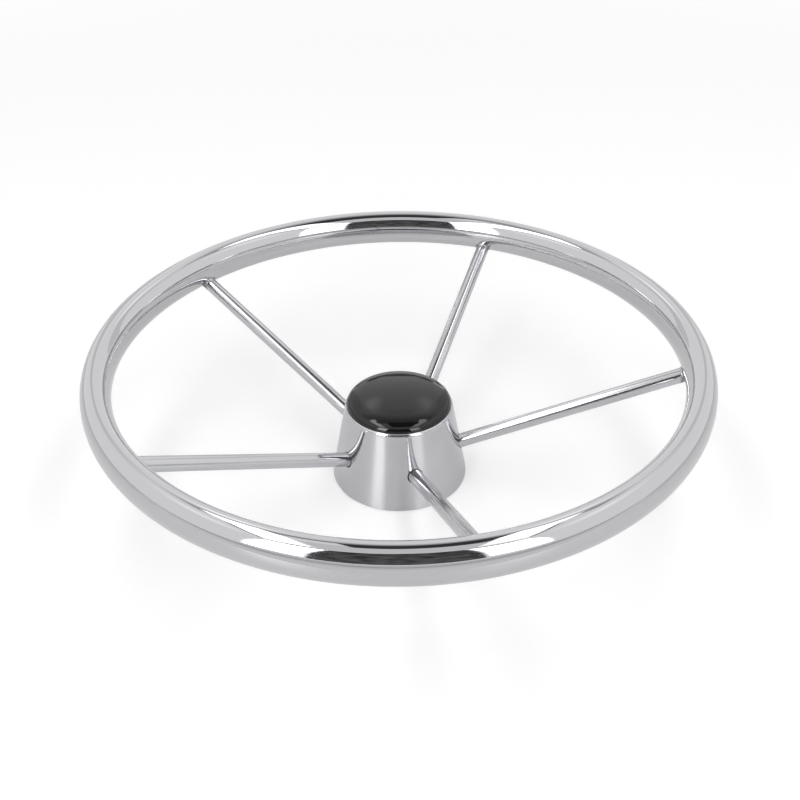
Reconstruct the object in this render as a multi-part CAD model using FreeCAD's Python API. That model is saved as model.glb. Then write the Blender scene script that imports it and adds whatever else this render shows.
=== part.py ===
"""Five-spoke dished stainless steering wheel for a small boat.

The wheel lies on the base of its hub, as it comes off the helm. The origin is the centre of
the hub's back face, where the steering shaft enters, and +Z runs up the shaft's axis.
All sizes are in millimetres and degrees.
"""
import FreeCAD, Part
import math
import os

from FreeCAD import Vector as V

# Rim: a 22 mm tube pressed oval, bent to a ring and welded shut
WHEEL_DIAMETER = 390.0
RIM_WIDTH = 18.0
RIM_DEPTH = 25.4
RIM_WALL = 1.5
RIM_HEIGHT = 92.8

# Spokes: straight bars that rise from the hub to the inner lower side of the rim
SPOKE_COUNT = 5
SPOKE_DIAMETER = 9.5
SPOKE_RISE = 22.5
SPOKE_BELOW_RIM_CENTRE = 7.7
FIRST_SPOKE = -3.6
SPOKE_SOCKET_RADIUS = 14.8
WELD_FILLET = 1.2

# Hub shell: a cone drawn from sheet, its top turned in and down as a collar for the cap
SHELL_BASE_DIAMETER = 90.8
SHELL_TOP_DIAMETER = 70.2
SHELL_HEIGHT = 55.3
SHEET = 1.5
COLLAR_BORE = 61.2
COLLAR_DEPTH = 8.0
SHELL_SHOULDER = 3.5
COLLAR_MOUTH = 1.2
BASE_EDGE = 0.5
SPOKE_HOLE_GAP = 0.45
SPOKE_HOLE_DROP = 0.15

# Back plate: a washer-shaped disc welded between the boss and the foot of the shell
PLATE_THICKNESS = 3.0
PLATE_RECESS = 1.2

# Boss: turned bar with the shaft's 1 in 12 taper, a keyway and five spoke sockets
BOSS_DIAMETER = 42.0
BOSS_LENGTH = 36.0
BOSS_NECK_DIAMETER = 35.0
BOSS_SHOULDER_HEIGHT = 26.0
BOSS_CHAMFER = 0.8
TAPER_MOUTH = 19.05
TAPER_RATIO = 1.0 / 12.0
KEYWAY_WIDTH = 4.76
KEYWAY_DEPTH = 2.4

# Washer and locknut that hold the wheel on a shaft with a 5/8 inch fine thread
WASHER_OUTER = 33.3
WASHER_BORE = 16.7
WASHER_THICKNESS = 2.4
NUT_ACROSS_FLATS = 23.8
NUT_HEX_HEIGHT = 9.2
NUT_HEIGHT = 12.4
NUT_THREAD_BORE = 14.6
NUT_COLLAR_DIAMETER = 21.6
NUT_LIP_BORE = 17.2
NUT_LIP = 0.6
NUT_FACE_ANGLE = 30.0
INSERT_OUTER = 18.8
INSERT_BORE = 15.0

# Centre cap: moulded, its top three arcs that run into each other from the axis to the edge.
# A tilt is how far the top leans from level where one arc ends and the next begins.
CAP_DIAMETER = 69.0
CAP_DOME_TILT = 10.9
CAP_FLANK_RADIUS = 38.4
CAP_FLANK_TILT = 22.3
CAP_EDGE_RADIUS = 5.5
CAP_EDGE_TILT = 79.0
CAP_OVERHANG = 0.45
CAP_OVERHANG_WIDTH = 0.9
CAP_WALL = 2.2

# The cap's spigot and the rubber ring that grip the shell's collar
SPIGOT_DIAMETER = 60.6
SPIGOT_BORE = 54.4
SPIGOT_LENGTH = 8.5
SPIGOT_LEAD = 0.6
RING_SECTION = 1.8
RING_OUTER = 61.1
RING_DEPTH = 4.2
RIB_COUNT = 6
RIB_THICKNESS = 1.4
RIB_REACH = 12.0

# Sizes that follow from the ones above
RIM_RADIUS = (WHEEL_DIAMETER - RIM_WIDTH) / 2
RISE = math.radians(SPOKE_RISE)
SPOKE_PITCH = 360.0 / SPOKE_COUNT
SPOKE_AXIS_START = RIM_HEIGHT - SPOKE_BELOW_RIM_CENTRE - RIM_RADIUS * math.tan(RISE)
SHELL_SLOPE = (SHELL_BASE_DIAMETER - SHELL_TOP_DIAMETER) / 2 / SHELL_HEIGHT
SHEET_ACROSS = SHEET * math.hypot(1.0, SHELL_SLOPE)
KEYWAY_ANGLE = FIRST_SPOKE - SPOKE_PITCH / 2
WASHER_TOP = BOSS_LENGTH + WASHER_THICKNESS
CENTRE = V(0, 0, 0)
UP = V(0, 0, 1)


def point(r, z):
    """A point of a turned profile, at radius r and height z."""
    return V(r, 0, z)


def turned(points):
    """A solid of revolution about the wheel's axis from a closed outline of straight sides."""
    outline = Part.makePolygon(points + points[:1])
    return Part.Face(outline).revolve(CENTRE, UP, 360)


def ring_edges(solid, radius, height, tolerance=0.05):
    """The full-circle edges of a turned solid at one radius and height."""
    found = []
    for edge in solid.Edges:
        curve = edge.Curve
        if isinstance(curve, Part.Circle) and abs(curve.Center.z - height) < tolerance:
            if abs(curve.Radius - radius) < tolerance:
                found.append(edge)
    return found


def shell_radius(z):
    """Outer radius of the hub shell's cone at height z."""
    return SHELL_BASE_DIAMETER / 2 - SHELL_SLOPE * z


def spoke_bar(diameter, start, end, angle, drop=0.0):
    """A round bar along a spoke's axis, between two distances from the wheel's centre."""
    along = V(math.cos(RISE), 0, math.sin(RISE))
    foot = V(0, 0, SPOKE_AXIS_START - drop)
    bar = Part.makeCylinder(diameter / 2, end - start, foot + along * start, along)
    bar.rotate(CENTRE, UP, angle)
    return bar


def oval_ring(width, depth, sweep=360):
    """The rim's oval section, turned about the wheel's axis all the way or for part of it."""
    middle = point(RIM_RADIUS, RIM_HEIGHT)
    curve = Part.Ellipse(middle + V(0, 0, depth / 2), middle + V(width / 2, 0, 0), middle)
    section = Part.Face(Part.Wire(curve.toShape()))
    section.rotate(CENTRE, UP, -sweep / 2)
    return section.revolve(CENTRE, UP, sweep)


def rim():
    """Closed ring of oval tube, hollow all the way round."""
    outside = oval_ring(RIM_WIDTH, RIM_DEPTH)
    inside = oval_ring(RIM_WIDTH - 2 * RIM_WALL, RIM_DEPTH - 2 * RIM_WALL)
    return outside.cut(inside)


def spoke(angle):
    """Straight bar, its outer end coped to the oval rim and finished with a polished weld."""
    start = SPOKE_SOCKET_RADIUS / math.cos(RISE)
    bar = spoke_bar(SPOKE_DIAMETER, start, RIM_RADIUS / math.cos(RISE), 0)
    tube = oval_ring(RIM_WIDTH, RIM_DEPTH, SPOKE_PITCH / 3)
    joined = bar.fuse(tube).removeSplitter()
    seam = [edge for edge in joined.Edges if on_seam(edge)]
    coped = joined.makeFillet(WELD_FILLET, seam).cut(tube)
    coped.rotate(CENTRE, UP, angle)
    return coped


def on_seam(edge):
    """Whether an edge is where the bar meets the oval tube, away from the tube's cut ends."""
    box = edge.BoundBox
    beside = max(abs(box.YMin), abs(box.YMax)) < SPOKE_DIAMETER
    return beside and box.XMin > RIM_RADIUS - RIM_WIDTH


def hub_shell():
    """Conical shell with its top turned in and down, and a round hole for each spoke."""
    collar = COLLAR_BORE / 2
    foot = SHELL_BASE_DIAMETER / 2
    under = SHELL_HEIGHT - SHEET
    shell = turned([
        point(foot, 0),
        point(shell_radius(SHELL_HEIGHT), SHELL_HEIGHT),
        point(collar, SHELL_HEIGHT),
        point(collar, SHELL_HEIGHT - COLLAR_DEPTH),
        point(collar + SHEET, SHELL_HEIGHT - COLLAR_DEPTH),
        point(collar + SHEET, under),
        point(shell_radius(under) - SHEET_ACROSS, under),
        point(foot - SHEET_ACROSS, 0),
    ])
    shoulder = ring_edges(shell, shell_radius(SHELL_HEIGHT), SHELL_HEIGHT)
    shell = shell.makeFillet(SHELL_SHOULDER, shoulder)
    shell = shell.makeFillet(COLLAR_MOUTH, ring_edges(shell, collar, SHELL_HEIGHT))
    shell = shell.makeFillet(BASE_EDGE, ring_edges(shell, foot, 0))
    hole = SPOKE_DIAMETER + 2 * SPOKE_HOLE_GAP
    for index in range(SPOKE_COUNT):
        angle = FIRST_SPOKE + index * SPOKE_PITCH
        drill = spoke_bar(hole, COLLAR_BORE / 2, SHELL_BASE_DIAMETER * 0.6, angle, SPOKE_HOLE_DROP)
        shell = shell.cut(drill)
    return shell


def back_plate():
    """Flat disc that closes the foot of the shell and carries the boss."""
    low = PLATE_RECESS
    high = PLATE_RECESS + PLATE_THICKNESS
    return turned([
        point(BOSS_DIAMETER / 2, low),
        point(shell_radius(low) - SHEET_ACROSS, low),
        point(shell_radius(high) - SHEET_ACROSS, high),
        point(BOSS_DIAMETER / 2, high),
    ])


def hub_boss():
    """Turned boss with the tapered shaft bore, its keyway and the sockets of the spokes."""
    body = BOSS_DIAMETER / 2
    neck = BOSS_NECK_DIAMETER / 2
    mouth = TAPER_MOUTH / 2
    throat = mouth - BOSS_LENGTH * TAPER_RATIO / 2
    boss = turned([
        point(mouth + BOSS_CHAMFER, 0),
        point(body - BOSS_CHAMFER, 0),
        point(body, BOSS_CHAMFER),
        point(body, BOSS_SHOULDER_HEIGHT),
        point(neck, BOSS_SHOULDER_HEIGHT + body - neck),
        point(neck, BOSS_LENGTH - BOSS_CHAMFER),
        point(neck - BOSS_CHAMFER, BOSS_LENGTH),
        point(throat + BOSS_CHAMFER / 2, BOSS_LENGTH),
        point(throat, BOSS_LENGTH - BOSS_CHAMFER / 2),
        point(mouth - BOSS_CHAMFER * TAPER_RATIO / 2, BOSS_CHAMFER),
    ])
    boss = boss.cut(keyway(mouth, throat))
    for index in range(SPOKE_COUNT):
        angle = FIRST_SPOKE + index * SPOKE_PITCH
        start = SPOKE_SOCKET_RADIUS / math.cos(RISE)
        boss = boss.cut(spoke_bar(SPOKE_DIAMETER, start, BOSS_DIAMETER, angle))
    return boss


def keyway(mouth, throat):
    """Cutter for the keyway, its floor parallel to the taper's side."""
    floor = Part.makePolygon([
        point(0, 0),
        point(mouth + KEYWAY_DEPTH, 0),
        point(throat + KEYWAY_DEPTH, BOSS_LENGTH),
        point(0, BOSS_LENGTH),
        point(0, 0),
    ])
    cutter = Part.Face(floor).extrude(V(0, KEYWAY_WIDTH, 0))
    cutter.translate(V(0, -KEYWAY_WIDTH / 2, 0))
    cutter.rotate(CENTRE, UP, KEYWAY_ANGLE)
    return cutter


def washer():
    """Plain flat washer between the boss and the nut."""
    return turned([
        point(WASHER_BORE / 2, BOSS_LENGTH),
        point(WASHER_OUTER / 2, BOSS_LENGTH),
        point(WASHER_OUTER / 2, WASHER_TOP),
        point(WASHER_BORE / 2, WASHER_TOP),
    ])


def shaft_nut():
    """Hexagon locknut with chamfered corners and a rolled collar round its nylon ring."""
    corner = NUT_ACROSS_FLATS / 2 / math.cos(math.radians(30))
    top = WASHER_TOP + NUT_HEX_HEIGHT
    angles = [math.radians(60 * step) for step in range(7)]
    corners = [V(corner * math.cos(a), corner * math.sin(a), WASHER_TOP) for a in angles]
    hexagon = Part.Face(Part.makePolygon(corners)).extrude(V(0, 0, NUT_HEX_HEIGHT))
    slope = math.tan(math.radians(NUT_FACE_ANGLE))
    flat = NUT_ACROSS_FLATS / 2
    rise = (corner - flat) * slope
    hexagon = hexagon.common(turned([
        point(0, WASHER_TOP),
        point(flat, WASHER_TOP),
        point(corner, WASHER_TOP + rise),
        point(corner, top - rise),
        point(flat, top),
        point(0, top),
    ]))
    collar = turned([
        point(0, top),
        point(NUT_COLLAR_DIAMETER / 2, top),
        point(NUT_COLLAR_DIAMETER / 2, WASHER_TOP + NUT_HEIGHT - NUT_LIP),
        point(NUT_COLLAR_DIAMETER / 2 - NUT_LIP, WASHER_TOP + NUT_HEIGHT),
        point(0, WASHER_TOP + NUT_HEIGHT),
    ])
    inside = turned([
        point(0, WASHER_TOP),
        point(NUT_THREAD_BORE / 2, WASHER_TOP),
        point(NUT_THREAD_BORE / 2, top),
        point(INSERT_OUTER / 2, top),
        point(INSERT_OUTER / 2, WASHER_TOP + NUT_HEIGHT - NUT_LIP),
        point(NUT_LIP_BORE / 2, WASHER_TOP + NUT_HEIGHT),
        point(0, WASHER_TOP + NUT_HEIGHT),
    ])
    return hexagon.fuse(collar).removeSplitter().cut(inside)


def nut_insert():
    """Nylon ring that grips the thread, held in the nut's collar."""
    low = WASHER_TOP + NUT_HEX_HEIGHT
    high = WASHER_TOP + NUT_HEIGHT - NUT_LIP
    return turned([
        point(INSERT_BORE / 2, low),
        point(INSERT_OUTER / 2, low),
        point(INSERT_OUTER / 2, high),
        point(INSERT_BORE / 2, high),
    ])


def centre_cap():
    """Domed cap with a down-turned edge, a grooved spigot and ribs under the dome."""
    edge = CAP_DIAMETER / 2
    bore = SPIGOT_BORE / 2
    seat = SHELL_HEIGHT
    spigot = SPIGOT_DIAMETER / 2
    foot = seat - SPIGOT_LENGTH
    skin = crown(edge, 0.0, [point(edge - CAP_OVERHANG_WIDTH, seat), point(0, seat)])
    hollow = crown(bore, CAP_WALL, [point(bore, foot), point(0, foot)])
    groove = RING_OUTER / 2 - RING_SECTION
    middle = seat - RING_DEPTH
    half = RING_SECTION / 2
    sleeve = turned([
        point(SPIGOT_BORE / 2 - CAP_WALL, seat),
        point(SPIGOT_BORE / 2 - CAP_WALL, foot),
        point(spigot - SPIGOT_LEAD, foot),
        point(spigot, foot + SPIGOT_LEAD),
        point(spigot, middle - half),
        point(groove, middle - half),
        point(groove, middle + half),
        point(spigot, middle + half),
        point(spigot, seat),
    ])
    cap = skin.fuse(sleeve).removeSplitter().cut(hollow)
    for index in range(RIB_COUNT):
        cap = cap.fuse(cap_rib(index * 360.0 / RIB_COUNT))
    return cap.removeSplitter()


def lean(tilt):
    """Unit vector that leans outward from the wheel's axis by a tilt."""
    return V(math.sin(math.radians(tilt)), 0, math.cos(math.radians(tilt)))


def cap_arcs():
    """Centre, radius and last tilt of each arc of the cap's top, from the axis outward."""
    lip = point(CAP_DIAMETER / 2, SHELL_HEIGHT - CAP_OVERHANG)
    edge = lip - lean(CAP_EDGE_TILT) * CAP_EDGE_RADIUS
    flank = edge - lean(CAP_FLANK_TILT) * (CAP_FLANK_RADIUS - CAP_EDGE_RADIUS)
    beyond = flank.x / lean(CAP_DOME_TILT).x
    middle = flank - lean(CAP_DOME_TILT) * beyond
    return [
        (middle, CAP_FLANK_RADIUS + beyond, CAP_DOME_TILT),
        (flank, CAP_FLANK_RADIUS, CAP_FLANK_TILT),
        (edge, CAP_EDGE_RADIUS, CAP_EDGE_TILT),
    ]


def crown(reach, inward, under):
    """Turned plug with the cap's top, or a surface inward of it, closed by the corners under it."""
    sides = []
    tilt = 0.0
    for centre, radius, end in cap_arcs():
        size = radius - inward
        share = min(1.0, (reach - centre.x) / size)
        stop = min(end, math.degrees(math.asin(share)))
        if stop > tilt:
            halfway = centre + lean((tilt + stop) / 2) * size
            last = centre + lean(stop) * size
            sides.append(Part.Arc(centre + lean(tilt) * size, halfway, last).toShape())
            tilt = stop
    corners = [last] + under + [point(0, crown_height(0, inward))]
    for first, second in zip(corners, corners[1:]):
        sides.append(Part.makeLine(first, second))
    return Part.Face(Part.Wire(sides)).revolve(CENTRE, UP, 360)


def crown_height(r, inward):
    """Height over radius r of the surface that lies inward of the cap's top."""
    for centre, radius, end in cap_arcs():
        size = radius - inward
        if r <= centre.x + lean(end).x * size:
            break
    return centre.z + math.sqrt(size ** 2 - (r - centre.x) ** 2)


def cap_rib(angle):
    """One stiffening rib between the spigot's inside and the underside of the dome."""
    outer = SPIGOT_BORE / 2 + CAP_WALL / 2
    inner = SPIGOT_BORE / 2 - RIB_REACH
    rib = Part.Face(Part.makePolygon([
        point(outer, SHELL_HEIGHT - SPIGOT_LENGTH + CAP_WALL),
        point(outer, crown_height(outer, CAP_WALL / 2)),
        point(inner, crown_height(inner, CAP_WALL / 2)),
        point(outer, SHELL_HEIGHT - SPIGOT_LENGTH + CAP_WALL),
    ])).extrude(V(0, RIB_THICKNESS, 0))
    rib.translate(V(0, -RIB_THICKNESS / 2, 0))
    rib.rotate(CENTRE, UP, angle)
    return rib


def cap_ring():
    """Rubber ring in the spigot's groove, drawn at the size it is squeezed to."""
    radius = (RING_OUTER - RING_SECTION) / 2
    ring = Part.makeTorus(radius, RING_SECTION / 2)
    ring.translate(V(0, 0, SHELL_HEIGHT - RING_DEPTH))
    return ring


def parts():
    """Every piece of the wheel by the name it is saved under."""
    pieces = {"rim": rim()}
    for index in range(SPOKE_COUNT):
        pieces[f"spoke_{index + 1}"] = spoke(FIRST_SPOKE + index * SPOKE_PITCH)
    pieces["hub_shell"] = hub_shell()
    pieces["back_plate"] = back_plate()
    pieces["hub_boss"] = hub_boss()
    pieces["shaft_washer"] = washer()
    pieces["shaft_nut"] = shaft_nut()
    pieces["nut_insert"] = nut_insert()
    pieces["centre_cap"] = centre_cap()
    pieces["cap_ring"] = cap_ring()
    return pieces


def main():
    os.makedirs("parts", exist_ok=True)
    for name, shape in parts().items():
        solid = shape.Solids[0]
        solid.exportStep(f"parts/{name}.step")
        print(f"{name}: {len(shape.Solids)} solid, {solid.Volume / 1000:.2f} cm3, valid {solid.isValid()}")


main()
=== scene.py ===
"""Finishes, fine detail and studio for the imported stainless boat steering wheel."""

import math

import bmesh
import bpy
from mathutils import Matrix, Vector


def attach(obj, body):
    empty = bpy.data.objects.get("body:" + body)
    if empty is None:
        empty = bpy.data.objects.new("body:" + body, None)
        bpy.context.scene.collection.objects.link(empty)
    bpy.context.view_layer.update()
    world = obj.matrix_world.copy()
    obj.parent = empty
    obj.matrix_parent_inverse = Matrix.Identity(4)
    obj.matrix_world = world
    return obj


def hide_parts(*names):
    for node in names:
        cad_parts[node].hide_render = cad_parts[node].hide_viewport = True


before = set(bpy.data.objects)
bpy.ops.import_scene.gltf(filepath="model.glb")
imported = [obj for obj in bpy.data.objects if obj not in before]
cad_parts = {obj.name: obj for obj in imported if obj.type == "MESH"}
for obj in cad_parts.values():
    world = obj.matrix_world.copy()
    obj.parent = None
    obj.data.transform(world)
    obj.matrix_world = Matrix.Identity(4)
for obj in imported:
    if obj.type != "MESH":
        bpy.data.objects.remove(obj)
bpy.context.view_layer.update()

bl_info = {
    "name": "Boat steering wheel",
    "version": (1, 0, 0),
    "blender": (4, 5, 0),
    "location": "3D View > Sidebar > Wheel",
    "description": "Finishes, fine detail and studio for a dished stainless boat steering wheel",
    "category": "Object",
}

# The spokes: which way the first one points, the turn to the next, and how steeply they rise.
SPOKES = [f"spoke_{number}" for number in range(1, 6)]
FIRST_SPOKE = math.radians(-3.6)
SPOKE_PITCH = math.radians(72)
SPOKE_RISE = math.radians(22.5)

# Distance from the axis at which a spoke's polish begins to fade into a satin weld, painted darker
# as shade where the spoke meets the rim, and where the weld is fully satin and shaded.
WELD_SATIN_AND_SHADE_START = 0.1765
WELD_SATIN_AND_SHADE_FULL = 0.1785
WELD_ROUGHNESS = 0.42
# The weld's grey is painted shade: a darker colour standing in for the shadow and dark reflection
# where a spoke meets the rim.
WELD_PAINTED_SHADE_GREY = "#8E8E90"

# Radii at which the polish runs round: the middle of the rim's tube, and of the hub's shell.
RIM_RADIUS = 0.186
SHELL_RADIUS = 0.04

# How deep the marks are: the lines of a buff, the rings of a tool and the grain of a mould, and
# the ripple where plastic shrinks.
BUFF_DEPTH = 0.000002
TOOL_DEPTH = 0.00001
RIPPLE_DEPTH = 0.000004

# Facets round the rim's section and round the wheel, and of one turn of the nut's thread.
# Points that are nearer to each other than the merge distance become one.
RIM_SIDES = 96
RIM_STEPS = 800
THREAD_STEPS = 48
MERGE_DISTANCE = 0.000001

# The floor lies a hair under the hub's foot. It is whitened for the eye, far off more than near,
# and a little for what mirrors it. Where the hub stands on it, it glows far more for what mirrors
# it: painted light in place of the shadow under the foot.
FLOOR_HEIGHT = -0.0002
FOOT_RADIUS = 0.0452
FOOT_EDGE = 0.0002
EYE_NEAR, EYE_NEAR_WHITE = 0.1, 0.23
EYE_FAR, EYE_FAR_WHITE = 1.7, 0.52
# Painted light: the glow that steel mirrors under the hub's foot, where the floor lies in the
# hub's shadow.
FOOT_PAINTED_GLOW = 0.7
FLOOR_WHITE = 0.02
FLOOR_GLOSS = 0.28

BLACK = (0.0, 0.0, 0.0, 1.0)
WHITE = (1.0, 1.0, 1.0, 1.0)


def linear(hex_colour):
    """Turns an sRGB hex colour into the linear red, green and blue that shaders use."""
    channels = [int(hex_colour[i:i + 2], 16) / 255 for i in (1, 3, 5)]
    return [c / 12.92 if c <= 0.04045 else ((c + 0.055) / 1.055) ** 2.4 for c in channels]


def add_node(tree, kind, settings=None, inputs=None):
    """Adds one node, with its settings and with its inputs linked or given a value."""
    node = tree.nodes.new(kind)
    for name, value in (settings or {}).items():
        setattr(node, name, value)
    for name, value in (inputs or {}).items():
        if isinstance(value, bpy.types.NodeSocket):
            tree.links.new(value, node.inputs[name])
        else:
            node.inputs[name].default_value = value
    return node


def new_material(name, values):
    """Makes a material with one Principled shader, and returns it, its tree and the shader."""
    material = bpy.data.materials.new(name)
    material.use_nodes = True
    tree = material.node_tree
    tree.nodes.clear()
    shader = add_node(tree, "ShaderNodeBsdfPrincipled", None, values)
    add_node(tree, "ShaderNodeOutputMaterial", None, {"Surface": shader.outputs["BSDF"]})
    return material, tree, shader


def colour(value):
    """Adds the alpha that a shader's colour socket wants."""
    return (*value, 1.0)


def turned_coordinates(tree):
    """Returns a point's distance from the wheel's axis, its angle round it and its height."""
    place = add_node(tree, "ShaderNodeTexCoord").outputs["Object"]
    split = add_node(tree, "ShaderNodeSeparateXYZ", None, {"Vector": place})
    flat = add_node(
        tree, "ShaderNodeVectorMath", {"operation": "MULTIPLY"}, {0: place, 1: (1, 1, 0)}
    )
    radius = add_node(
        tree, "ShaderNodeVectorMath", {"operation": "LENGTH"}, {0: flat.outputs["Vector"]}
    )
    angle = add_node(
        tree,
        "ShaderNodeMath",
        {"operation": "ARCTAN2"},
        {0: split.outputs["Y"], 1: split.outputs["X"]},
    )
    return radius.outputs["Value"], angle.outputs["Value"], split.outputs["Z"]


def streaks(tree, across, along, up, width, length):
    """Noise drawn out in one direction: its streaks are width apart and length long."""
    stretched = add_node(
        tree,
        "ShaderNodeMath",
        {"operation": "MULTIPLY"},
        {0: along, 1: width / length},
    )
    place = add_node(
        tree,
        "ShaderNodeCombineXYZ",
        None,
        {"X": across, "Y": stretched.outputs["Value"], "Z": up},
    )
    noise = add_node(
        tree,
        "ShaderNodeTexNoise",
        None,
        {"Vector": place.outputs["Vector"], "Scale": 1 / width, "Detail": 3.0},
    )
    return noise.outputs["Fac"]


def spread(tree, value, low, high):
    """Maps noise, which stays near the middle of 0 to 1, onto low to high."""
    node = add_node(
        tree,
        "ShaderNodeMapRange",
        None,
        {"Value": value, "From Min": 0.3, "From Max": 0.7, "To Min": low, "To Max": high},
    )
    return node.outputs["Result"]


def emboss(tree, shader, height, depth):
    """Gives a shader the relief of a pattern, whose bumps are depth high."""
    bump = add_node(
        tree, "ShaderNodeBump", None, {"Height": height, "Strength": 1.0, "Distance": depth}
    )
    tree.links.new(bump.outputs["Normal"], shader.inputs["Normal"])


def rough_up(tree, shader, height, depth, low, high):
    """Gives a shader the relief and the spread of roughness of one pattern."""
    emboss(tree, shader, height, depth)
    tree.links.new(spread(tree, height, low, high), shader.inputs["Roughness"])


def seen_white(tree):
    """Returns 1 where the eye, metal or clear plastic looks, and 0 where light falls."""
    path = add_node(tree, "ShaderNodeLightPath").outputs
    first = add_node(
        tree,
        "ShaderNodeMath",
        {"operation": "MAXIMUM"},
        {0: path["Is Camera Ray"], 1: path["Is Glossy Ray"]},
    )
    both = add_node(
        tree,
        "ShaderNodeMath",
        {"operation": "MAXIMUM"},
        {0: first.outputs["Value"], 1: path["Is Transmission Ray"]},
    )
    return both.outputs["Value"]


def mirror_polished_tube(steel):
    """Bent stainless tube, buffed to a mirror along its length: sharp reflections with hair-fine
    lengthwise lines. The real lines are 0.2 mm apart and are drawn 0.9 mm apart to show."""
    material, tree, shader = new_material(
        "mirror_polished_stainless_tube", {"Base Color": colour(steel), "Metallic": 1.0}
    )
    radius, angle, height = turned_coordinates(tree)
    run = add_node(
        tree, "ShaderNodeMath", {"operation": "MULTIPLY"}, {0: angle, 1: RIM_RADIUS}
    ).outputs["Value"]
    lines = streaks(tree, radius, run, height, width=0.0009, length=0.12)
    rough_up(tree, shader, lines, BUFF_DEPTH, low=0.03, high=0.07)
    return material


def mirror_polished_bar(steel):
    """Drawn stainless bar, buffed along its length: long bright and dark streaks. The wheel of the
    buff doesn't reach into the weld at the rim, which stays satin, and is painted a darker grey
    there as shade where the spoke meets the rim."""
    material, tree, shader = new_material("mirror_polished_stainless_bar", {"Metallic": 1.0})
    radius, angle, height = turned_coordinates(tree)
    from_spoke = add_node(
        tree,
        "ShaderNodeMath",
        {"operation": "WRAP"},
        {0: angle, 1: FIRST_SPOKE + SPOKE_PITCH / 2, 2: FIRST_SPOKE - SPOKE_PITCH / 2},
    )
    turn = add_node(
        tree,
        "ShaderNodeMath",
        {"operation": "SUBTRACT"},
        {0: from_spoke.outputs["Value"], 1: FIRST_SPOKE},
    )
    sideways = add_node(
        tree, "ShaderNodeMath", {"operation": "MULTIPLY"}, {0: turn.outputs["Value"], 1: radius}
    )
    climb = add_node(
        tree, "ShaderNodeMath", {"operation": "MULTIPLY"}, {0: radius, 1: math.tan(SPOKE_RISE)}
    )
    above = add_node(
        tree, "ShaderNodeMath", {"operation": "SUBTRACT"}, {0: height, 1: climb.outputs["Value"]}
    )
    lines = streaks(
        tree,
        sideways.outputs["Value"],
        radius,
        above.outputs["Value"],
        width=0.0008,
        length=0.1,
    )
    weld_satin_and_shade = add_node(
        tree,
        "ShaderNodeMapRange",
        {"interpolation_type": "SMOOTHSTEP"},
        {"Value": radius, "From Min": WELD_SATIN_AND_SHADE_START, "From Max": WELD_SATIN_AND_SHADE_FULL},
    ).outputs["Result"]
    emboss(tree, shader, lines, BUFF_DEPTH)
    buffed = spread(tree, lines, low=0.11, high=0.19)
    finish = add_node(
        tree,
        "ShaderNodeMix",
        {"data_type": "FLOAT"},
        {"Factor": weld_satin_and_shade, "A": buffed, "B": WELD_ROUGHNESS},
    )
    tree.links.new(finish.outputs["Result"], shader.inputs["Roughness"])
    # Painted shade: the colour turns darker grey towards the rim, in place of the shadow where the
    # spoke meets it.
    joint_painted_shade = add_node(
        tree,
        "ShaderNodeMix",
        {"data_type": "RGBA"},
        {"Factor": weld_satin_and_shade, "A": colour(steel), "B": colour(linear(WELD_PAINTED_SHADE_GREY))},
    )
    tree.links.new(joint_painted_shade.outputs["Result"], shader.inputs["Base Color"])
    return material


def satin_polished_sheet(steel):
    """Drawn stainless sheet, polished as it turns on a lathe: a soft bright sheen up the cone,
    with rings 0.15 mm apart, drawn 0.6 mm apart to show."""
    material, tree, shader = new_material(
        "satin_polished_stainless_sheet",
        {"Base Color": colour(steel), "Metallic": 1.0},
    )
    radius, angle, height = turned_coordinates(tree)
    run = add_node(
        tree, "ShaderNodeMath", {"operation": "MULTIPLY"}, {0: angle, 1: SHELL_RADIUS}
    ).outputs["Value"]
    rings = streaks(tree, radius, run, height, width=0.0006, length=0.06)
    rough_up(tree, shader, rings, BUFF_DEPTH, low=0.08, high=0.15)
    return material


def turned_stainless(steel):
    """Bar turned on a lathe and left as cut: fine rings from the tool, 0.2 mm a turn, drawn at
    0.5 mm to show."""
    material, tree, shader = new_material(
        "as_turned_stainless", {"Base Color": colour(steel), "Metallic": 1.0}
    )
    radius, angle, height = turned_coordinates(tree)
    rings = streaks(tree, radius, angle, height, width=0.0005, length=2.0)
    rough_up(tree, shader, rings, TOOL_DEPTH, low=0.2, high=0.34)
    return material


def moulded_abs(black):
    """ABS moulded in a polished tool: black and glossy, with a faint shallow ripple from the
    way the plastic shrinks, 3 mm from crest to crest."""
    material, tree, shader = new_material(
        "gloss_moulded_black_abs", {"Base Color": colour(black), "IOR": 1.5}
    )
    place = add_node(tree, "ShaderNodeTexCoord").outputs["Object"]
    ripple = add_node(
        tree, "ShaderNodeTexNoise", None, {"Vector": place, "Scale": 330.0, "Detail": 1.0}
    )
    rough_up(tree, shader, ripple.outputs["Fac"], RIPPLE_DEPTH, low=0.05, high=0.09)
    return material


def moulded_nylon(ivory):
    """Natural nylon: milky, waxy and slightly see-into, with a fine moulded grain of 0.4 mm."""
    material, tree, shader = new_material(
        "natural_nylon",
        {
            "Base Color": colour(ivory),
            "IOR": 1.53,
            "Subsurface Weight": 0.15,
            "Subsurface Scale": 0.002,
        },
    )
    place = add_node(tree, "ShaderNodeTexCoord").outputs["Object"]
    grain = add_node(
        tree, "ShaderNodeTexNoise", None, {"Vector": place, "Scale": 2500.0, "Detail": 2.0}
    )
    rough_up(tree, shader, grain.outputs["Fac"], TOOL_DEPTH, low=0.35, high=0.5)
    return material


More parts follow.
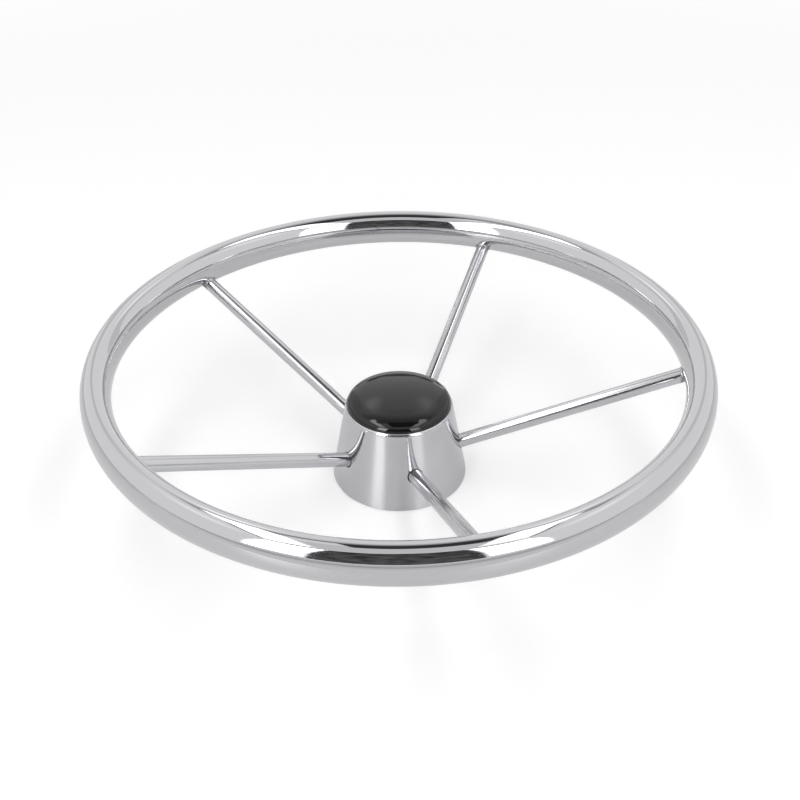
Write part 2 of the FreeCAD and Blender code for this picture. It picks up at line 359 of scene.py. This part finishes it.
def moulded_rubber(black):
    """Nitrile rubber ring: dull black with a fine bloom, from grain 0.3 mm across."""
    material, tree, shader = new_material(
        "moulded_nitrile_rubber", {"Base Color": colour(black), "IOR": 1.52}
    )
    place = add_node(tree, "ShaderNodeTexCoord").outputs["Object"]
    grain = add_node(
        tree, "ShaderNodeTexNoise", None, {"Vector": place, "Scale": 3300.0, "Detail": 2.0}
    )
    rough_up(tree, shader, grain.outputs["Fac"], TOOL_DEPTH, low=0.5, high=0.68)
    return material


def finish_nodes(names, material):
    """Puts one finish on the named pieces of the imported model."""
    for name in names:
        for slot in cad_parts[name].material_slots:
            slot.material = material


def mesh_piece(name, mesh):
    """Turns a bmesh into an object in the scene that sits at the wheel's origin."""
    data = bpy.data.meshes.new(name)
    mesh.to_mesh(data)
    mesh.free()
    piece = bpy.data.objects.new(name, data)
    bpy.context.scene.collection.objects.link(piece)
    return piece


class WheelFinishes(bpy.types.PropertyGroup):
    """Colours of the wheel's materials."""

    polished_steel: bpy.props.FloatVectorProperty(
        name="Polished steel",
        description="Colour of the mirror-polished rim, spokes and hub",
        subtype="COLOR",
        size=3,
        min=0.0,
        max=1.0,
        default=linear("#C8C8CB"),
    )
    turned_steel: bpy.props.FloatVectorProperty(
        name="Turned steel",
        description="Colour of the hub boss, the washer and the nut",
        subtype="COLOR",
        size=3,
        min=0.0,
        max=1.0,
        default=linear("#C4C4C6"),
    )
    cap_black: bpy.props.FloatVectorProperty(
        name="Cap black",
        description="Colour of the moulded centre cap",
        subtype="COLOR",
        size=3,
        min=0.0,
        max=1.0,
        default=linear("#0F0F11"),
    )
    rubber_black: bpy.props.FloatVectorProperty(
        name="Rubber black",
        description="Colour of the ring that holds the cap",
        subtype="COLOR",
        size=3,
        min=0.0,
        max=1.0,
        default=linear("#1C1C1C"),
    )
    nylon_ivory: bpy.props.FloatVectorProperty(
        name="Nylon",
        description="Colour of the nut's locking insert",
        subtype="COLOR",
        size=3,
        min=0.0,
        max=1.0,
        default=linear("#E4E1D2"),
    )


class RimSizes(bpy.types.PropertyGroup):
    """Sizes of the oval tube rim."""

    ring_radius: bpy.props.FloatProperty(
        name="Ring radius",
        description="From the wheel's axis to the middle of the tube",
        subtype="DISTANCE",
        unit="LENGTH",
        default=0.18596,
    )
    height: bpy.props.FloatProperty(
        name="Height",
        description="From the floor to the middle of the tube",
        subtype="DISTANCE",
        unit="LENGTH",
        default=0.0928,
    )
    width: bpy.props.FloatProperty(
        name="Width",
        description="Of the oval tube, across the wheel",
        subtype="DISTANCE",
        unit="LENGTH",
        default=0.018,
    )
    depth: bpy.props.FloatProperty(
        name="Depth",
        description="Of the oval tube, along the wheel's axis",
        subtype="DISTANCE",
        unit="LENGTH",
        default=0.0254,
    )


class ThreadSizes(bpy.types.PropertyGroup):
    """Sizes of the thread in the shaft nut, which has 18 turns to the inch."""

    bore_radius: bpy.props.FloatProperty(
        name="Bore radius",
        description="Of the nut's bore, which the thread's ridge stands in",
        subtype="DISTANCE",
        unit="LENGTH",
        default=0.0073,
    )
    ridge: bpy.props.FloatProperty(
        name="Ridge",
        description="How far the ridge stands out of the bore",
        subtype="DISTANCE",
        unit="LENGTH",
        default=0.00045,
    )
    pitch: bpy.props.FloatProperty(
        name="Pitch",
        description="From one turn of the thread to the next",
        subtype="DISTANCE",
        unit="LENGTH",
        default=0.00141,
    )
    foot: bpy.props.FloatProperty(
        name="Foot",
        description="Height of the nut's lower face",
        subtype="DISTANCE",
        unit="LENGTH",
        default=0.0384,
    )
    top: bpy.props.FloatProperty(
        name="Top",
        description="Height of the threaded part's upper end",
        subtype="DISTANCE",
        unit="LENGTH",
        default=0.0476,
    )


class StudioSettings(bpy.types.PropertyGroup):
    """Sizes and brightness of the studio round the wheel."""

    camera_distance: bpy.props.FloatProperty(
        name="Camera distance",
        description="From the camera to the point that it looks at",
        subtype="DISTANCE",
        unit="LENGTH",
        default=0.63538,
    )
    camera_elevation: bpy.props.FloatProperty(
        name="Camera elevation",
        description="How far above the horizon the camera looks down from",
        subtype="ANGLE",
        unit="ROTATION",
        default=0.6157,
    )
    lamp_light: bpy.props.FloatProperty(
        name="Lamp light",
        description="Brightness of the soft boxes as they light the wheel, where white has 1",
        default=2.2,
        min=0.0,
    )
    lamp_glare: bpy.props.FloatProperty(
        name="Lamp glare",
        description="Brightness of the soft boxes as steel and gloss plastic mirror them",
        default=6.0,
        min=0.0,
    )
    fill: bpy.props.FloatProperty(
        name="Fill light",
        description="Brightness of the tent's white cloth as it lights the wheel",
        default=0.5,
        min=0.0,
    )
    floor_colour: bpy.props.FloatVectorProperty(
        name="Floor",
        description="Colour of the pale sweep under the wheel",
        subtype="COLOR",
        size=3,
        min=0.0,
        max=1.0,
        default=linear("#F2F2F2"),
    )


class WHEEL_OT_studio(bpy.types.Operator):
    """Make the camera, the lamps, the white surroundings and the floor"""

    bl_idname = "wheel.studio"
    bl_label = "Studio"

    def execute(self, context):
        settings = context.scene.wheel_studio
        self.place_camera(settings)
        self.light_surroundings(settings)
        self.hang_lamps(settings)
        self.hang_cards(settings)
        self.lay_floor(settings)
        return {"FINISHED"}

    def place_camera(self, settings):
        """Puts the camera where the photograph was taken from."""
        aim = Vector((0.00071, 0.0, 0.0568))
        roll = -0.0093
        camera = bpy.data.objects.new("camera", bpy.data.cameras.new("camera"))
        camera.data.sensor_width = 36.0
        camera.data.lens = 43.70
        camera.data.clip_start = 0.01
        tilt = settings.camera_elevation
        back = Vector((0.0, -math.cos(tilt), math.sin(tilt)))
        turn = Matrix.Rotation(math.pi / 2 - tilt, 4, "X") @ Matrix.Rotation(roll, 4, "Z")
        camera.matrix_world = Matrix.Translation(aim + back * settings.camera_distance) @ turn
        bpy.context.scene.collection.objects.link(camera)
        bpy.context.scene.camera = camera

    def light_surroundings(self, settings):
        """White cloth all round: seen as white, and lighting the wheel more gently."""
        world = bpy.data.worlds.new("white_tent")
        world.use_nodes = True
        tree = world.node_tree
        tree.nodes.clear()
        seen = add_node(
            tree,
            "ShaderNodeMapRange",
            None,
            {"Value": seen_white(tree), "To Min": settings.fill, "To Max": 1.0},
        )
        cloth = add_node(
            tree,
            "ShaderNodeBackground",
            None,
            {"Color": WHITE, "Strength": seen.outputs["Result"]},
        )
        add_node(
            tree, "ShaderNodeOutputWorld", None, {"Surface": cloth.outputs["Background"]}
        )
        bpy.context.scene.world = world

    def hang_lamps(self, settings):
        """Lights the wheel with two soft boxes in front and two overhead."""
        for side in (-1, 1):
            self.hang_lamp("front", (side * 0.66, -1.0, 0.72), (0.46, 1.05), settings)
            self.hang_lamp("overhead", (side * 0.33, 0.0, 0.95), (0.25, 1.1), settings)

    def hang_lamp(self, name, place, size, settings):
        """Hangs a soft box that faces the wheel. What mirrors of it is its card."""
        light = bpy.data.lights.new(name + "_soft_box", "AREA")
        light.shape = "RECTANGLE"
        light.size, light.size_y = size
        light.energy = settings.lamp_light * math.pi * size[0] * size[1]
        lamp = bpy.data.objects.new(name + "_soft_box", light)
        if abs(place[1]) > abs(place[2]):
            away = Vector((place[0], place[1], 0.0))
        else:
            away = Vector((0.0, 0.0, 1.0))
        lamp.rotation_euler = away.to_track_quat("Z", "Y").to_euler()
        lamp.location = place
        lamp.visible_camera = False
        lamp.visible_glossy = False
        bpy.context.scene.collection.objects.link(lamp)

    def hang_cards(self, settings):
        """Hangs what the steel and the gloss plastic mirror: both sides' cards, the doorway
        between the front boxes, the tent's dark vent, seam and ceiling, and a painted reflection
        of the front floor, darker further from the wheel towards the doorway."""
        self.hang_side_cards(-1, -0.035, settings.lamp_glare * 1.25)
        self.hang_side_cards(1, -0.015, settings.lamp_glare * 0.75)
        self.hang_card(
            "doorway", (-0.5, 0.45, -1.04, 0.13), (-0.5, 0.45, -1.04, 1.36), 0.07, 0.04, mottle=0.1
        )
        self.hang_card("vent", (-0.14, 0.27, -0.2, 0.96), (-0.14, 0.27, 0.24, 0.96), 0.05)
        self.hang_card("seam", (-0.38, 0.36, -0.74, 0.97), (-0.3, 0.28, -0.1, 0.97), 0.8)
        self.hang_card("ceiling", (-0.55, 0.55, 0.2, 0.98), (-0.6, 0.6, 0.7, 0.98), 0.3, 0.9)
        # Painted reflection: a glowing sheet just above the floor, seen only in reflections. It
        # stands in for the floor in front as steel mirrors it, darker further from the wheel
        # towards the doorway.
        self.hang_card("front_floor_painted_reflection", (-3, 3, -0.35, 0.001), (-3, 3, -1.04, 0.001), 0.86, 0.42)

    def hang_side_cards(self, side, shift, glare):
        """Hangs the cards of one side: the faces of its two soft boxes, shifted a little and in
        dark frames, the cloth that glows round them, and the grey strip down the back."""

        def edge(inner, outer, depth, height, moved=0.0):
            return (side * inner + moved, side * outer + moved, depth, height)

        foot, head = edge(0.47, 0.97, -1.0, 0.2, shift), edge(0.47, 0.97, -1.0, 1.25, shift)
        self.hang_card("front_box", foot, head, glare)
        foot, head = edge(0.47, 0.97, -0.99, 1.25, shift), edge(0.47, 0.97, -0.99, 1.45, shift)
        self.hang_card("front_frame", foot, head, 0.3)
        near, middle = edge(0.35, 0.62, -0.6, 0.95, shift), edge(0.27, 0.46, 0.0, 0.95, shift)
        far = edge(0.27, 0.44, 0.33, 0.95, shift)
        self.hang_card("overhead_front", near, middle, glare * 0.38, glare * 0.65)
        self.hang_card("overhead_back", middle, far, glare * 0.65)
        near, middle = edge(0.62, 0.65, -0.6, 0.945, shift), edge(0.46, 0.49, 0.0, 0.945, shift)
        self.hang_card("overhead_frame", near, middle, 0.1)
        near, far = edge(0.14, 0.44, 0.55, 0.97), edge(0.14, 0.44, 1.3, 0.97)
        self.hang_card("ceiling_glow", near, far, 1.6 - side * 0.1, 1.0, round_fade=True)
        near, far = edge(0.62, 1.1, -0.8, 0.985), edge(0.62, 1.1, 0.45, 0.985)
        self.hang_card("side_glow", near, far, 1.3, 1.0, round_fade=True)
        near, far = edge(0.52, 0.88, 0.2, 0.99), edge(0.52, 0.88, 1.2, 0.99)
        self.hang_card("ceiling_strip", near, far, 1.0, 0.78)
        self.hang_card("back_strip", edge(0.52, 0.88, 1.2, 0.2), far, 0.78)

    def hang_card(self, name, first, second, glow, last_glow=None, round_fade=False, mottle=0.0):
        """Hangs a flat card from one level edge to another, each given as its ends in X, its Y
        and its height. It shows only in reflections. Its glow fades from the first edge to the
        second, or from the middle outwards, and has blots on it where it is mottled."""
        mesh = bmesh.new()
        mesh.loops.layers.uv.new("card")
        bmesh.ops.create_grid(mesh, x_segments=1, y_segments=1, size=1.0, calc_uvs=True)
        for corner in mesh.verts:
            edge = first if corner.co.y < 0 else second
            corner.co = (edge[0] if corner.co.x < 0 else edge[1], edge[2], edge[3])
        card = mesh_piece(name, mesh)
        material, tree, shader = new_material(
            name + "_cloth",
            {"Base Color": BLACK, "Specular IOR Level": 0.0, "Emission Color": WHITE},
        )
        place = add_node(tree, "ShaderNodeTexCoord").outputs["UV"]
        share = add_node(tree, "ShaderNodeSeparateXYZ", None, {"Vector": place}).outputs["Y"]
        reach = 1.0
        if round_fade:
            from_middle = add_node(
                tree,
                "ShaderNodeVectorMath",
                {"operation": "DISTANCE"},
                {0: place, 1: (0.5, 0.5, 0.0)},
            )
            share = from_middle.outputs["Value"]
            reach = 0.5
        fade = add_node(
            tree,
            "ShaderNodeMapRange",
            {"interpolation_type": "SMOOTHSTEP"},
            {
                "Value": share,
                "From Max": reach,
                "To Min": glow,
                "To Max": glow if last_glow is None else last_glow,
            },
        ).outputs["Result"]
        if mottle:
            blots = add_node(
                tree, "ShaderNodeTexNoise", None, {"Vector": place, "Scale": 8.0, "Detail": 3.0}
            )
            shade = spread(tree, blots.outputs["Fac"], low=-mottle / 3, high=mottle)
            fade = add_node(
                tree, "ShaderNodeMath", {"operation": "ADD"}, {0: fade, 1: shade}
            ).outputs["Value"]
        tree.links.new(fade, shader.inputs["Emission Strength"])
        card.data.materials.append(material)
        card.visible_camera = False
        card.visible_diffuse = False
        card.visible_shadow = False

    def lay_floor(self, settings):
        """Lays the glossy white sheet that the hub stands on, which keeps the wheel's shadow.
        The eye sees it matt and as white far off as near, and looks through it from below.
        Steel mirrors its gloss as well, and where the hub stands on it, a painted glow in place of
        the shadow under the foot."""
        mesh = bmesh.new()
        bmesh.ops.create_grid(mesh, x_segments=1, y_segments=1, size=6.0)
        bmesh.ops.translate(mesh, vec=(0.0, 0.0, FLOOR_HEIGHT), verts=mesh.verts)
        floor = mesh_piece("floor", mesh)
        material, tree, shader = new_material(
            "white_sheet", {"Base Color": colour(settings.floor_colour), "Roughness": 0.35}
        )
        place = add_node(tree, "ShaderNodeTexCoord").outputs["Object"]
        away = add_node(tree, "ShaderNodeVectorMath", {"operation": "LENGTH"}, {0: place})
        eye = add_node(tree, "ShaderNodeLightPath").outputs["Is Camera Ray"]
        seen = add_node(
            tree,
            "ShaderNodeMapRange",
            None,
            {
                "Value": away.outputs["Value"],
                "From Min": EYE_NEAR,
                "From Max": EYE_FAR,
                "To Min": EYE_NEAR_WHITE,
                "To Max": EYE_FAR_WHITE,
            },
        )
        # Painted light for what mirrors the floor: a glow under the hub's foot in place of its
        # shadow, and a faint even lift elsewhere.
        mirrored = add_node(
            tree,
            "ShaderNodeMapRange",
            None,
            {
                "Value": away.outputs["Value"],
                "From Min": FOOT_RADIUS - FOOT_EDGE,
                "From Max": FOOT_RADIUS,
                "To Min": FOOT_PAINTED_GLOW,
                "To Max": FLOOR_WHITE,
            },
        )
        extra = add_node(
            tree,
            "ShaderNodeMapRange",
            None,
            {
                "Value": eye,
                "To Min": mirrored.outputs["Result"],
                "To Max": seen.outputs["Result"],
            },
        )
        lift = add_node(
            tree,
            "ShaderNodeMath",
            {"operation": "MULTIPLY"},
            {0: seen_white(tree), 1: extra.outputs["Result"]},
        )
        shader.inputs["Emission Color"].default_value = WHITE
        tree.links.new(lift.outputs["Value"], shader.inputs["Emission Strength"])
        gloss = add_node(
            tree, "ShaderNodeMapRange", None, {"Value": eye, "To Min": FLOOR_GLOSS, "To Max": 0.0}
        )
        tree.links.new(gloss.outputs["Result"], shader.inputs["Specular IOR Level"])
        under = add_node(tree, "ShaderNodeNewGeometry").outputs["Backfacing"]
        hidden = add_node(
            tree, "ShaderNodeMath", {"operation": "MULTIPLY"}, {0: eye, 1: under}
        )
        clear = add_node(tree, "ShaderNodeBsdfTransparent")
        sheet = add_node(
            tree,
            "ShaderNodeMixShader",
            None,
            {0: hidden.outputs["Value"], 1: shader.outputs["BSDF"], 2: clear.outputs["BSDF"]},
        )
        tree.links.new(sheet.outputs["Shader"], tree.nodes["Material Output"].inputs["Surface"])
        floor.data.materials.append(material)


class WHEEL_OT_rim(bpy.types.Operator):
    """Bend the oval tube to a ring and polish it"""

    bl_idname = "wheel.rim"
    bl_label = "Rim"

    def execute(self, context):
        finishes = context.scene.wheel_finishes
        sizes = context.scene.wheel_rim
        mesh = bmesh.new()
        bmesh.ops.create_circle(mesh, segments=RIM_SIDES, radius=0.5)
        oval = Matrix.Diagonal((sizes.width, sizes.depth, 1.0, 1.0))
        upright = Matrix.Rotation(math.pi / 2, 4, "X")
        place = Matrix.Translation((sizes.ring_radius, 0.0, sizes.height))
        bmesh.ops.transform(mesh, matrix=place @ upright @ oval, verts=mesh.verts)
        bmesh.ops.spin(
            mesh,
            geom=mesh.verts[:] + mesh.edges[:],
            cent=(0.0, 0.0, 0.0),
            axis=(0.0, 0.0, 1.0),
            angle=2 * math.pi,
            steps=RIM_STEPS,
            use_merge=True,
        )
        bmesh.ops.remove_doubles(mesh, verts=mesh.verts, dist=MERGE_DISTANCE)
        bmesh.ops.recalc_face_normals(mesh, faces=mesh.faces)
        for face in mesh.faces:
            face.smooth = True
        rim = mesh_piece("oval_rim", mesh)
        rim.data.materials.append(mirror_polished_tube(finishes.polished_steel))
        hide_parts("rim")
        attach(rim, "wheel")
        return {"FINISHED"}


class WHEEL_OT_spokes(bpy.types.Operator):
    """Polish the five spokes"""

    bl_idname = "wheel.spokes"
    bl_label = "Spokes"

    def execute(self, context):
        finishes = context.scene.wheel_finishes
        finish_nodes(SPOKES, mirror_polished_bar(finishes.polished_steel))
        return {"FINISHED"}


class WHEEL_OT_hub(bpy.types.Operator):
    """Finish the hub's shell, boss, plate, washer, nut and locking insert, and cut the thread"""

    bl_idname = "wheel.hub"
    bl_label = "Hub"

    def execute(self, context):
        finishes = context.scene.wheel_finishes
        finish_nodes(["hub_shell", "back_plate"], satin_polished_sheet(finishes.polished_steel))
        turned = turned_stainless(finishes.turned_steel)
        finish_nodes(["hub_boss", "shaft_washer", "shaft_nut"], turned)
        finish_nodes(["nut_insert"], moulded_nylon(finishes.nylon_ivory))
        self.cut_thread(context.scene.wheel_thread, turned)
        return {"FINISHED"}

    def cut_thread(self, sizes, material):
        """Winds the ridge of the nut's thread up its bore, with its outer half in the steel."""
        mesh = bmesh.new()
        bmesh.ops.create_circle(mesh, segments=4, radius=1.0)
        ridge = Matrix.Diagonal((sizes.ridge, sizes.pitch * 0.4, 1.0, 1.0))
        upright = Matrix.Rotation(math.pi / 2, 4, "X")
        place = Matrix.Translation((sizes.bore_radius, 0.0, sizes.foot + sizes.pitch / 2))
        bmesh.ops.transform(mesh, matrix=place @ upright @ ridge, verts=mesh.verts)
        turns = (sizes.top - sizes.foot) / sizes.pitch - 1
        steps = round(turns * THREAD_STEPS)
        bmesh.ops.spin(
            mesh,
            geom=mesh.verts[:] + mesh.edges[:],
            cent=(0.0, 0.0, 0.0),
            axis=(0.0, 0.0, 1.0),
            dvec=(0.0, 0.0, turns * sizes.pitch / steps),
            angle=turns * 2 * math.pi,
            steps=steps,
        )
        ends = [edge for edge in mesh.edges if edge.is_boundary]
        bmesh.ops.holes_fill(mesh, edges=ends, sides=4)
        bmesh.ops.remove_doubles(mesh, verts=mesh.verts, dist=MERGE_DISTANCE)
        bmesh.ops.recalc_face_normals(mesh, faces=mesh.faces)
        thread = mesh_piece("nut_thread", mesh)
        thread.data.materials.append(material)
        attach(thread, "wheel")


class WHEEL_OT_cap(bpy.types.Operator):
    """Finish the centre cap and its rubber ring"""

    bl_idname = "wheel.cap"
    bl_label = "Cap"

    def execute(self, context):
        finishes = context.scene.wheel_finishes
        finish_nodes(["centre_cap"], moulded_abs(finishes.cap_black))
        finish_nodes(["cap_ring"], moulded_rubber(finishes.rubber_black))
        return {"FINISHED"}


class WHEEL_PT_panel(bpy.types.Panel):
    """Sidebar panel with the wheel's operators and settings"""

    bl_idname = "WHEEL_PT_panel"
    bl_label = "Boat steering wheel"
    bl_space_type = "VIEW_3D"
    bl_region_type = "UI"
    bl_category = "Wheel"

    def draw(self, context):
        for operator in OPERATORS:
            self.layout.operator(operator.bl_idname)
        scene = context.scene
        groups = (scene.wheel_rim, scene.wheel_thread, scene.wheel_finishes, scene.wheel_studio)
        for group in groups:
            for setting in group.__annotations__:
                self.layout.prop(group, setting)


OPERATORS = (WHEEL_OT_studio, WHEEL_OT_rim, WHEEL_OT_spokes, WHEEL_OT_hub, WHEEL_OT_cap)
CLASSES = (RimSizes, ThreadSizes, WheelFinishes, StudioSettings, *OPERATORS, WHEEL_PT_panel)


def register():
    for cls in CLASSES:
        bpy.utils.register_class(cls)
    bpy.types.Scene.wheel_rim = bpy.props.PointerProperty(type=RimSizes)
    bpy.types.Scene.wheel_thread = bpy.props.PointerProperty(type=ThreadSizes)
    bpy.types.Scene.wheel_finishes = bpy.props.PointerProperty(type=WheelFinishes)
    bpy.types.Scene.wheel_studio = bpy.props.PointerProperty(type=StudioSettings)


def unregister():
    del bpy.types.Scene.wheel_studio
    del bpy.types.Scene.wheel_finishes
    del bpy.types.Scene.wheel_thread
    del bpy.types.Scene.wheel_rim
    for cls in reversed(CLASSES):
        bpy.utils.unregister_class(cls)


def main():
    """Dresses the wheel, one operator at a time."""
    register()
    bpy.context.scene.view_settings.view_transform = "Standard"
    bpy.ops.wheel.studio()
    bpy.ops.wheel.rim()
    bpy.ops.wheel.spokes()
    bpy.ops.wheel.hub()
    bpy.ops.wheel.cap()


if __name__ == "__main__":
    main()
